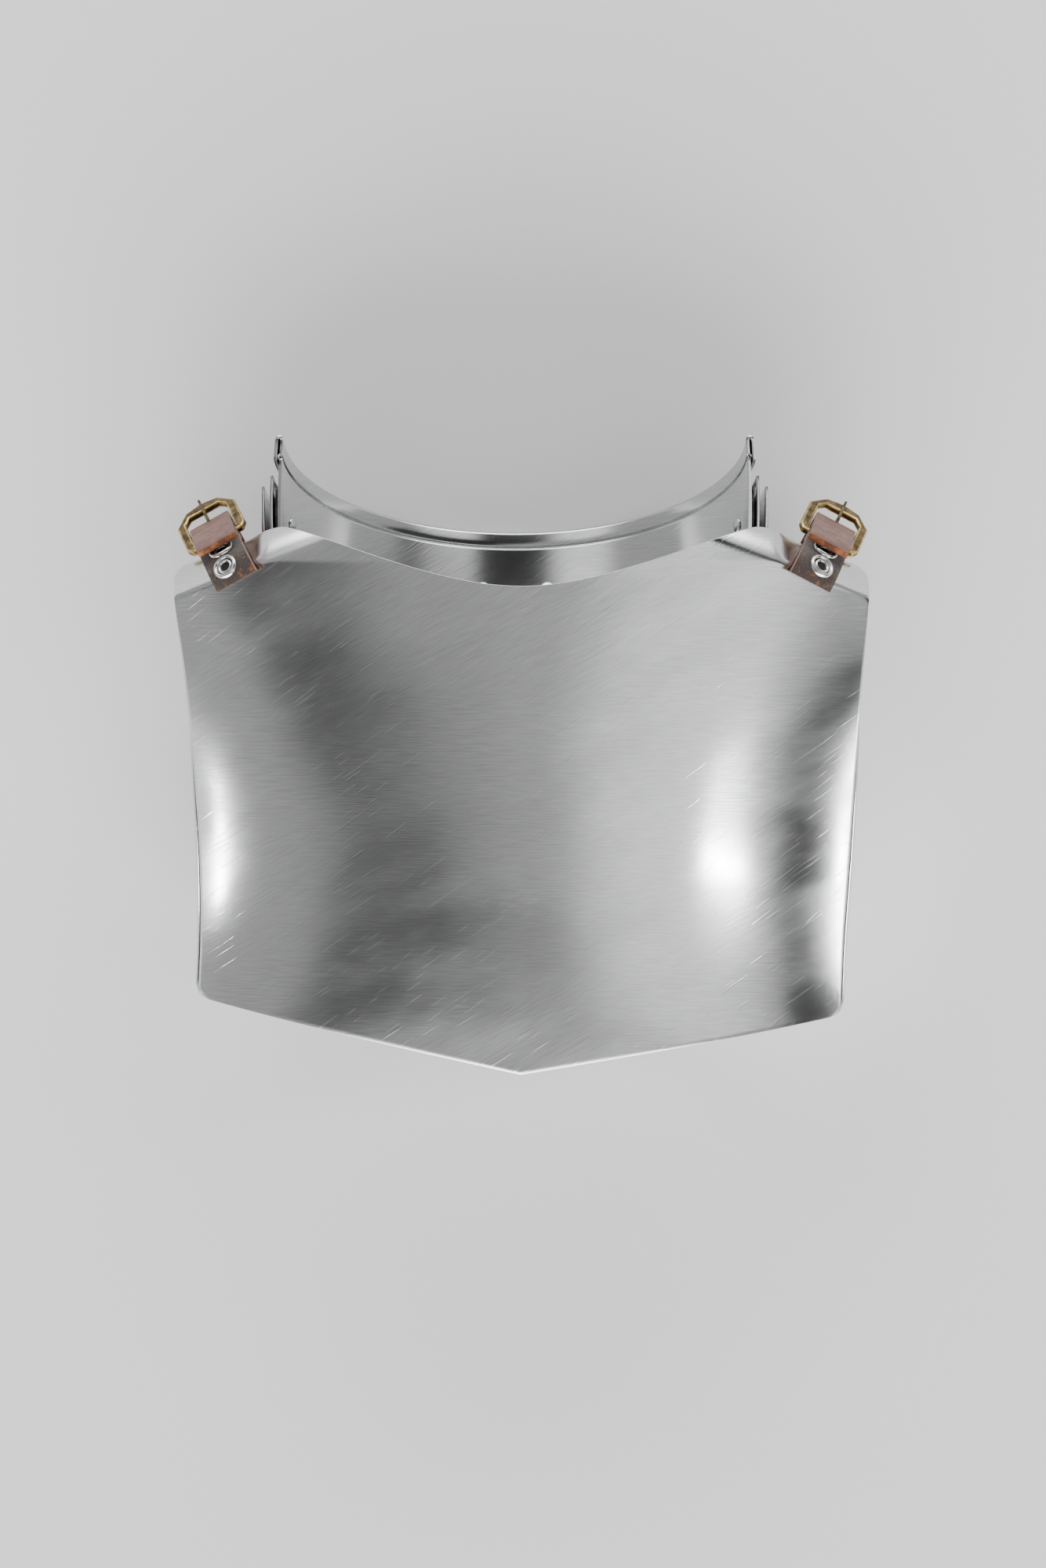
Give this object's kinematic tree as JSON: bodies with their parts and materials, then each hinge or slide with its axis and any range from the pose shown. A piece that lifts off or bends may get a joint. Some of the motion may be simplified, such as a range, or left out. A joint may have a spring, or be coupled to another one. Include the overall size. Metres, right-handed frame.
{
  "type": "steel gorget",
  "caption": "Plate armour neck defence: a breast plate and a back plate with a three-lame standing collar, closed over the shoulders by two buckled leather straps.",
  "frame": {"origin": "on the flat of the back plate, which rests on the floor at Z = 0, on the middle line just above half height", "axes": "+X to the wearer's left, +Y up towards the neck, +Z out of the chest"},
  "size_m": [0.2661, 0.2402, 0.0979],
  "materials": {
    "steel": "satin brushed steel",
    "brass": "antique brass",
    "nickel": "worn nickel",
    "brown_leather": "brown leather, suede side of the chapes out",
    "grey_leather": "rough grey leather"
  },
  "bodies": {
    "root": {"front_plate": "steel", "back_plate": "steel", "collar_top_lame": "steel", "collar_middle_lame": "steel", "collar_lower_lame": "steel", "collar_leather_left": "grey_leather", "collar_leather_nape": "grey_leather", "collar_leather_right": "grey_leather", "collar_rivet_1": "steel", "collar_rivet_2": "steel", "collar_rivet_3": "steel", "collar_rivet_4": "steel", "collar_rivet_5": "steel", "collar_rivet_6": "steel", "neck_rivet_1": "steel", "neck_rivet_2": "steel", "neck_rivet_3": "steel", "neck_rivet_4": "steel", "neck_rivet_5": "steel", "left_buckle_frame": "brass", "left_prong": "brass", "left_chape": "brown_leather", "left_strap": "brown_leather", "left_chape_rivet_1": "nickel", "left_strap_rivet_1": "nickel", "left_chape_rivet_2": "nickel", "left_strap_rivet_2": "nickel", "right_buckle_frame": "brass", "right_prong": "brass", "right_chape": "brown_leather", "right_strap": "brown_leather", "right_chape_rivet_1": "nickel", "right_strap_rivet_1": "nickel", "right_chape_rivet_2": "nickel", "right_strap_rivet_2": "nickel"}
  },
  "joints": []
}
